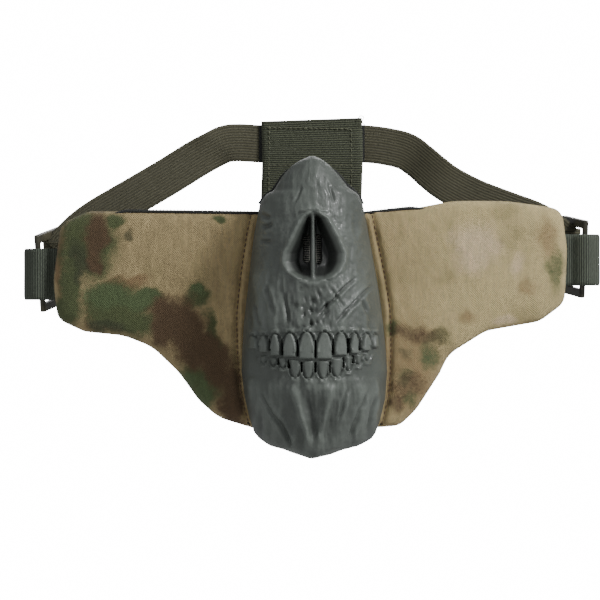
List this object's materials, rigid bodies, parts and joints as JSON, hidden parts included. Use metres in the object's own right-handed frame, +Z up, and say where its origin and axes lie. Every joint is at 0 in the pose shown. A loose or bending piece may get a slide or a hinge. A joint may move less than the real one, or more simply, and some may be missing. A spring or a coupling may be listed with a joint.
{
  "type": "half face mask",
  "caption": "Lower-face guard: a moulded skull plate between two padded camouflage cloth wings, held by an elastic head strap with a webbing pad.",
  "frame": {"origin": "where the mask's mid-plane meets the rim plane of the skull plate, level with the middle of the cheeks; the wearer's face is behind it", "axes": "+Z up towards the nose bridge, +X along the wings towards the right-hand wing seen from the front, +Y back towards the wearer's head; the plate faces -Y"},
  "size_m": [0.277, 0.0949, 0.1634],
  "materials": {
    "plate": "moulded grey-green, satin",
    "screen": "fine dark mesh",
    "foam": "closed-cell foam, black",
    "lining": "black knitted mesh",
    "camo": "printed ripstop cotton, blotched tan, green and brown",
    "seam_thread": "brown sewing thread",
    "thread": "olive sewing thread",
    "binding": "dark overlock edge",
    "tab_webbing": "ribbed webbing, grey-green",
    "pad_webbing": "heavy ribbed webbing, olive",
    "elastic": "ribbed elastic, olive-brown",
    "buckle": "moulded acetal, dark olive"
  },
  "bodies": {
    "face_plate": {"skull_plate": "plate", "nose_screen": "screen", "mouth_screen": "screen", "plate_foam": "foam", "plate_lining": "lining", "left_seam_welt": "camo", "left_seam_stitching": "seam_thread", "right_seam_welt": "camo", "right_seam_stitching": "seam_thread"},
    "head_pad": {"head_pad_front": "pad_webbing", "head_pad_back": "pad_webbing", "head_pad_elastic": "elastic", "head_pad_stitching": "thread"},
    "left_wing": {"left_wing_cover": "camo", "left_wing_foam": "foam", "left_wing_lining": "lining", "left_edge_binding": "binding", "left_tab_webbing": "tab_webbing", "left_tab_bartack": "thread"},
    "left_strap": {"left_buckle": "buckle", "left_elastic": "elastic", "left_tail_stitching": "thread"},
    "right_wing": {"right_wing_cover": "camo", "right_wing_foam": "foam", "right_wing_lining": "lining", "right_edge_binding": "binding", "right_tab_webbing": "tab_webbing", "right_tab_bartack": "thread"},
    "right_strap": {"right_buckle": "buckle", "right_elastic": "elastic", "right_tail_stitching": "thread"}
  },
  "joints": [
    {"name": "left_wing_wrap", "type": "hinge", "parent": "face_plate", "child": "left_wing", "pos_m": [-0.0385, 0.0058, 0], "axis": [0, 0, -1], "range_deg": [0, 55]},
    {"name": "right_wing_wrap", "type": "hinge", "parent": "face_plate", "child": "right_wing", "pos_m": [0.0385, 0.0058, 0], "axis": [0, 0, 1], "range_deg": [0, 55]},
    {"name": "left_strap_swing", "type": "hinge", "parent": "left_wing", "child": "left_strap", "pos_m": [-0.1324, 0.0225, 0.0129], "axis": [0, 0, 1], "range_deg": [0, 106.51]},
    {"name": "pad_turn", "type": "hinge", "parent": "left_strap", "child": "head_pad", "pos_m": [-0.0265, 0.0405, 0.077], "axis": [0, 0, -1], "range_deg": [0, 51.51]},
    {"name": "right_strap_swing", "type": "hinge", "parent": "head_pad", "child": "right_strap", "pos_m": [0.0265, 0.0405, 0.077], "axis": [0, 0, -1], "range_deg": [0, 51.51]}
  ],
  "couplings": [
    {"joint": "right_wing_wrap", "follows": "left_wing_wrap", "ratio": 1},
    {"joint": "left_strap_swing", "follows": "left_wing_wrap", "ratio": 1.9275},
    {"joint": "pad_turn", "follows": "left_wing_wrap", "ratio": 0.9275},
    {"joint": "right_strap_swing", "follows": "left_wing_wrap", "ratio": 0.9275}
  ]
}
